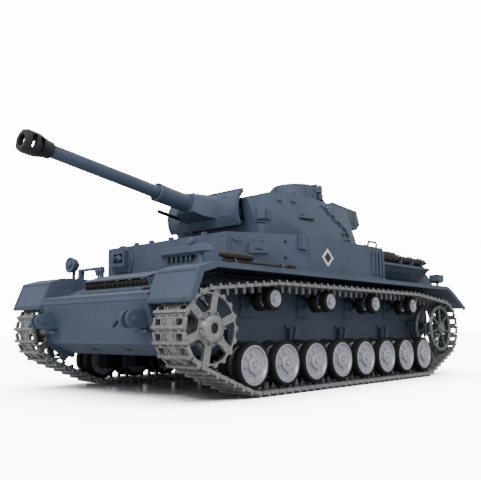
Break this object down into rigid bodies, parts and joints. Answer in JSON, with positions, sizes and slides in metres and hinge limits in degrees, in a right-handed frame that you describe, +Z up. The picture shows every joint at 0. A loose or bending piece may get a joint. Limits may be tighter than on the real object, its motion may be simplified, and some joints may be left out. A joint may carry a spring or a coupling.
{
  "type": "rc tank",
  "caption": "Radio-controlled scale tank with sprung bogies, tracks, turning turret, elevating gun and opening cupola hatch.",
  "frame": {"origin": "middle of the whole tank's footprint, on the ground under the tracks", "axes": "+X forward along the hull, +Y to the tank's left, +Z up"},
  "size_m": [0.4084, 0.1852, 0.1657],
  "materials": {
    "body_paint": "matt blue-grey moulded plastic",
    "dark_steel": "satin black",
    "black_plastic": "matt black moulding",
    "track_metal": "dull cast zinc grey",
    "idler_metal": "dull grey metal",
    "tyre_rubber": "matt black rubber",
    "wheel_metal": "satin silver",
    "battery_wrap": "shrink sleeve",
    "gearbox_housing": "pale moulding",
    "circuit_board": "solder-masked board"
  },
  "bodies": {
    "hull": {"lower_hull": "body_paint", "upper_hull": "body_paint", "fender_left": "body_paint", "fender_right": "body_paint", "track_left": "track_metal", "track_right": "track_metal", "gearbox_left": "gearbox_housing", "gearbox_right": "gearbox_housing", "headlight": "body_paint", "blackout_lamp": "body_paint", "bow_gun": "body_paint", "muffler": "body_paint", "battery_pack": "battery_wrap", "battery_door": "black_plastic", "control_board": "circuit_board"},
    "turret": {"turret_shell": "body_paint", "cupola": "body_paint", "stowage_bin": "body_paint"},
    "gun": {"mantlet": "body_paint", "gun_barrel": "body_paint", "muzzle_brake": "dark_steel", "coaxial_gun": "dark_steel"},
    "hatch": {"cupola_hatch": "body_paint"},
    "switch": {"power_switch": "black_plastic"},
    "sprocket_left": {"sprocket_left": "track_metal"},
    "idler_left": {"idler_left": "idler_metal"},
    "bogie_left_1": {"bogie_left_1": "black_plastic"},
    "bogie_left_2": {"bogie_left_2": "black_plastic"},
    "bogie_left_3": {"bogie_left_3": "black_plastic"},
    "bogie_left_4": {"bogie_left_4": "black_plastic"},
    "road_wheel_left_1": {"road_wheel_left_1": "tyre_rubber"},
    "road_wheel_left_2": {"road_wheel_left_2": "tyre_rubber"},
    "road_wheel_left_3": {"road_wheel_left_3": "tyre_rubber"},
    "road_wheel_left_4": {"road_wheel_left_4": "tyre_rubber"},
    "road_wheel_left_5": {"road_wheel_left_5": "tyre_rubber"},
    "road_wheel_left_6": {"road_wheel_left_6": "tyre_rubber"},
    "road_wheel_left_7": {"road_wheel_left_7": "tyre_rubber"},
    "road_wheel_left_8": {"road_wheel_left_8": "tyre_rubber"},
    "return_roller_left_1": {"return_roller_left_1": "wheel_metal"},
    "return_roller_left_2": {"return_roller_left_2": "wheel_metal"},
    "return_roller_left_3": {"return_roller_left_3": "wheel_metal"},
    "return_roller_left_4": {"return_roller_left_4": "wheel_metal"},
    "sprocket_right": {"sprocket_right": "track_metal"},
    "idler_right": {"idler_right": "idler_metal"},
    "bogie_right_1": {"bogie_right_1": "black_plastic"},
    "bogie_right_2": {"bogie_right_2": "black_plastic"},
    "bogie_right_3": {"bogie_right_3": "black_plastic"},
    "bogie_right_4": {"bogie_right_4": "black_plastic"},
    "road_wheel_right_1": {"road_wheel_right_1": "tyre_rubber"},
    "road_wheel_right_2": {"road_wheel_right_2": "tyre_rubber"},
    "road_wheel_right_3": {"road_wheel_right_3": "tyre_rubber"},
    "road_wheel_right_4": {"road_wheel_right_4": "tyre_rubber"},
    "road_wheel_right_5": {"road_wheel_right_5": "tyre_rubber"},
    "road_wheel_right_6": {"road_wheel_right_6": "tyre_rubber"},
    "road_wheel_right_7": {"road_wheel_right_7": "tyre_rubber"},
    "road_wheel_right_8": {"road_wheel_right_8": "tyre_rubber"},
    "return_roller_right_1": {"return_roller_right_1": "wheel_metal"},
    "return_roller_right_2": {"return_roller_right_2": "wheel_metal"},
    "return_roller_right_3": {"return_roller_right_3": "wheel_metal"},
    "return_roller_right_4": {"return_roller_right_4": "wheel_metal"}
  },
  "joints": [
    {"name": "turret_traverse", "type": "hinge", "parent": "hull", "child": "turret", "pos_m": [-0.02045, 0, 0.105], "axis": [0, 0, 1], "range_deg": [-160, 160]},
    {"name": "gun_elevation", "type": "hinge", "parent": "turret", "child": "gun", "pos_m": [0.04355, 0, 0.1272], "axis": [0, -1, 0], "range_deg": [-16.2, 11.8]},
    {"name": "hatch_hinge", "type": "hinge", "parent": "turret", "child": "hatch", "pos_m": [-0.07047, 0.01661, 0.1641], "axis": [-0.7986, -0.6018, 0], "range_deg": [0, 95]},
    {"name": "power_switch_slide", "type": "slide", "parent": "hull", "child": "switch", "axis": [1, 0, 0], "range_m": [0, 0.004]},
    {"name": "sprocket_left_spin", "type": "hinge", "parent": "hull", "child": "sprocket_left", "pos_m": [0.13175, 0.0755, 0.04], "axis": [0, 1, 0], "continuous": true},
    {"name": "idler_left_spin", "type": "hinge", "parent": "hull", "child": "idler_left", "pos_m": [-0.16315, 0.0755, 0.0401], "axis": [0, 1, 0], "continuous": true},
    {"name": "bogie_left_1_travel", "type": "slide", "parent": "hull", "child": "bogie_left_1", "axis": [0, 0, 1], "range_m": [0, 0.003], "stiffness_N_per_m": 400, "springref_m": -0.002},
    {"name": "bogie_left_2_travel", "type": "slide", "parent": "hull", "child": "bogie_left_2", "axis": [0, 0, 1], "range_m": [0, 0.003], "stiffness_N_per_m": 400, "springref_m": -0.002},
    {"name": "bogie_left_3_travel", "type": "slide", "parent": "hull", "child": "bogie_left_3", "axis": [0, 0, 1], "range_m": [0, 0.003], "stiffness_N_per_m": 400, "springref_m": -0.002},
    {"name": "bogie_left_4_travel", "type": "slide", "parent": "hull", "child": "bogie_left_4", "axis": [0, 0, 1], "range_m": [0, 0.003], "stiffness_N_per_m": 400, "springref_m": -0.002},
    {"name": "road_wheel_left_1_spin", "type": "hinge", "parent": "bogie_left_1", "child": "road_wheel_left_1", "pos_m": [0.09355, 0.0755, 0.0183], "axis": [0, 1, 0], "continuous": true},
    {"name": "road_wheel_left_2_spin", "type": "hinge", "parent": "bogie_left_1", "child": "road_wheel_left_2", "pos_m": [0.06212, 0.0755, 0.0183], "axis": [0, 1, 0], "continuous": true},
    {"name": "road_wheel_left_3_spin", "type": "hinge", "parent": "bogie_left_2", "child": "road_wheel_left_3", "pos_m": [0.03069, 0.0755, 0.0183], "axis": [0, 1, 0], "continuous": true},
    {"name": "road_wheel_left_4_spin", "type": "hinge", "parent": "bogie_left_2", "child": "road_wheel_left_4", "pos_m": [-0.00074, 0.0755, 0.0183], "axis": [0, 1, 0], "continuous": true},
    {"name": "road_wheel_left_5_spin", "type": "hinge", "parent": "bogie_left_3", "child": "road_wheel_left_5", "pos_m": [-0.03217, 0.0755, 0.0183], "axis": [0, 1, 0], "continuous": true},
    {"name": "road_wheel_left_6_spin", "type": "hinge", "parent": "bogie_left_3", "child": "road_wheel_left_6", "pos_m": [-0.0636, 0.0755, 0.0183], "axis": [0, 1, 0], "continuous": true},
    {"name": "road_wheel_left_7_spin", "type": "hinge", "parent": "bogie_left_4", "child": "road_wheel_left_7", "pos_m": [-0.09503, 0.0755, 0.0183], "axis": [0, 1, 0], "continuous": true},
    {"name": "road_wheel_left_8_spin", "type": "hinge", "parent": "bogie_left_4", "child": "road_wheel_left_8", "pos_m": [-0.12646, 0.0755, 0.0183], "axis": [0, 1, 0], "continuous": true},
    {"name": "return_roller_left_1_spin", "type": "hinge", "parent": "hull", "child": "return_roller_left_1", "pos_m": [0.07225, 0.0755, 0.0586], "axis": [0, 1, 0], "continuous": true},
    {"name": "return_roller_left_2_spin", "type": "hinge", "parent": "hull", "child": "return_roller_left_2", "pos_m": [0.01095, 0.0755, 0.0586], "axis": [0, 1, 0], "continuous": true},
    {"name": "return_roller_left_3_spin", "type": "hinge", "parent": "hull", "child": "return_roller_left_3", "pos_m": [-0.05035, 0.0755, 0.0586], "axis": [0, 1, 0], "continuous": true},
    {"name": "return_roller_left_4_spin", "type": "hinge", "parent": "hull", "child": "return_roller_left_4", "pos_m": [-0.11165, 0.0755, 0.0586], "axis": [0, 1, 0], "continuous": true},
    {"name": "sprocket_right_spin", "type": "hinge", "parent": "hull", "child": "sprocket_right", "pos_m": [0.13175, -0.0755, 0.04], "axis": [0, 1, 0], "continuous": true},
    {"name": "idler_right_spin", "type": "hinge", "parent": "hull", "child": "idler_right", "pos_m": [-0.16315, -0.0755, 0.0401], "axis": [0, 1, 0], "continuous": true},
    {"name": "bogie_right_1_travel", "type": "slide", "parent": "hull", "child": "bogie_right_1", "axis": [0, 0, 1], "range_m": [0, 0.003], "stiffness_N_per_m": 400, "springref_m": -0.002},
    {"name": "bogie_right_2_travel", "type": "slide", "parent": "hull", "child": "bogie_right_2", "axis": [0, 0, 1], "range_m": [0, 0.003], "stiffness_N_per_m": 400, "springref_m": -0.002},
    {"name": "bogie_right_3_travel", "type": "slide", "parent": "hull", "child": "bogie_right_3", "axis": [0, 0, 1], "range_m": [0, 0.003], "stiffness_N_per_m": 400, "springref_m": -0.002},
    {"name": "bogie_right_4_travel", "type": "slide", "parent": "hull", "child": "bogie_right_4", "axis": [0, 0, 1], "range_m": [0, 0.003], "stiffness_N_per_m": 400, "springref_m": -0.002},
    {"name": "road_wheel_right_1_spin", "type": "hinge", "parent": "bogie_right_1", "child": "road_wheel_right_1", "pos_m": [0.09355, -0.0755, 0.0183], "axis": [0, 1, 0], "continuous": true},
    {"name": "road_wheel_right_2_spin", "type": "hinge", "parent": "bogie_right_1", "child": "road_wheel_right_2", "pos_m": [0.06212, -0.0755, 0.0183], "axis": [0, 1, 0], "continuous": true},
    {"name": "road_wheel_right_3_spin", "type": "hinge", "parent": "bogie_right_2", "child": "road_wheel_right_3", "pos_m": [0.03069, -0.0755, 0.0183], "axis": [0, 1, 0], "continuous": true},
    {"name": "road_wheel_right_4_spin", "type": "hinge", "parent": "bogie_right_2", "child": "road_wheel_right_4", "pos_m": [-0.00074, -0.0755, 0.0183], "axis": [0, 1, 0], "continuous": true},
    {"name": "road_wheel_right_5_spin", "type": "hinge", "parent": "bogie_right_3", "child": "road_wheel_right_5", "pos_m": [-0.03217, -0.0755, 0.0183], "axis": [0, 1, 0], "continuous": true},
    {"name": "road_wheel_right_6_spin", "type": "hinge", "parent": "bogie_right_3", "child": "road_wheel_right_6", "pos_m": [-0.0636, -0.0755, 0.0183], "axis": [0, 1, 0], "continuous": true},
    {"name": "road_wheel_right_7_spin", "type": "hinge", "parent": "bogie_right_4", "child": "road_wheel_right_7", "pos_m": [-0.09503, -0.0755, 0.0183], "axis": [0, 1, 0], "continuous": true},
    {"name": "road_wheel_right_8_spin", "type": "hinge", "parent": "bogie_right_4", "child": "road_wheel_right_8", "pos_m": [-0.12646, -0.0755, 0.0183], "axis": [0, 1, 0], "continuous": true},
    {"name": "return_roller_right_1_spin", "type": "hinge", "parent": "hull", "child": "return_roller_right_1", "pos_m": [0.07225, -0.0755, 0.0586], "axis": [0, 1, 0], "continuous": true},
    {"name": "return_roller_right_2_spin", "type": "hinge", "parent": "hull", "child": "return_roller_right_2", "pos_m": [0.01095, -0.0755, 0.0586], "axis": [0, 1, 0], "continuous": true},
    {"name": "return_roller_right_3_spin", "type": "hinge", "parent": "hull", "child": "return_roller_right_3", "pos_m": [-0.05035, -0.0755, 0.0586], "axis": [0, 1, 0], "continuous": true},
    {"name": "return_roller_right_4_spin", "type": "hinge", "parent": "hull", "child": "return_roller_right_4", "pos_m": [-0.11165, -0.0755, 0.0586], "axis": [0, 1, 0], "continuous": true}
  ],
  "couplings": [
    {"joint": "idler_left_spin", "follows": "sprocket_left_spin", "ratio": 0.98812},
    {"joint": "road_wheel_left_1_spin", "follows": "sprocket_left_spin", "ratio": 1.4648},
    {"joint": "road_wheel_left_2_spin", "follows": "sprocket_left_spin", "ratio": 1.4648},
    {"joint": "road_wheel_left_3_spin", "follows": "sprocket_left_spin", "ratio": 1.4648},
    {"joint": "road_wheel_left_4_spin", "follows": "sprocket_left_spin", "ratio": 1.4648},
    {"joint": "road_wheel_left_5_spin", "follows": "sprocket_left_spin", "ratio": 1.4648},
    {"joint": "road_wheel_left_6_spin", "follows": "sprocket_left_spin", "ratio": 1.4648},
    {"joint": "road_wheel_left_7_spin", "follows": "sprocket_left_spin", "ratio": 1.4648},
    {"joint": "road_wheel_left_8_spin", "follows": "sprocket_left_spin", "ratio": 1.4648},
    {"joint": "return_roller_left_1_spin", "follows": "sprocket_left_spin", "ratio": 2.7733},
    {"joint": "return_roller_left_2_spin", "follows": "sprocket_left_spin", "ratio": 2.7733},
    {"joint": "return_roller_left_3_spin", "follows": "sprocket_left_spin", "ratio": 2.7733},
    {"joint": "return_roller_left_4_spin", "follows": "sprocket_left_spin", "ratio": 2.7733},
    {"joint": "idler_right_spin", "follows": "sprocket_right_spin", "ratio": 0.98812},
    {"joint": "road_wheel_right_1_spin", "follows": "sprocket_right_spin", "ratio": 1.4648},
    {"joint": "road_wheel_right_2_spin", "follows": "sprocket_right_spin", "ratio": 1.4648},
    {"joint": "road_wheel_right_3_spin", "follows": "sprocket_right_spin", "ratio": 1.4648},
    {"joint": "road_wheel_right_4_spin", "follows": "sprocket_right_spin", "ratio": 1.4648},
    {"joint": "road_wheel_right_5_spin", "follows": "sprocket_right_spin", "ratio": 1.4648},
    {"joint": "road_wheel_right_6_spin", "follows": "sprocket_right_spin", "ratio": 1.4648},
    {"joint": "road_wheel_right_7_spin", "follows": "sprocket_right_spin", "ratio": 1.4648},
    {"joint": "road_wheel_right_8_spin", "follows": "sprocket_right_spin", "ratio": 1.4648},
    {"joint": "return_roller_right_1_spin", "follows": "sprocket_right_spin", "ratio": 2.7733},
    {"joint": "return_roller_right_2_spin", "follows": "sprocket_right_spin", "ratio": 2.7733},
    {"joint": "return_roller_right_3_spin", "follows": "sprocket_right_spin", "ratio": 2.7733},
    {"joint": "return_roller_right_4_spin", "follows": "sprocket_right_spin", "ratio": 2.7733}
  ]
}
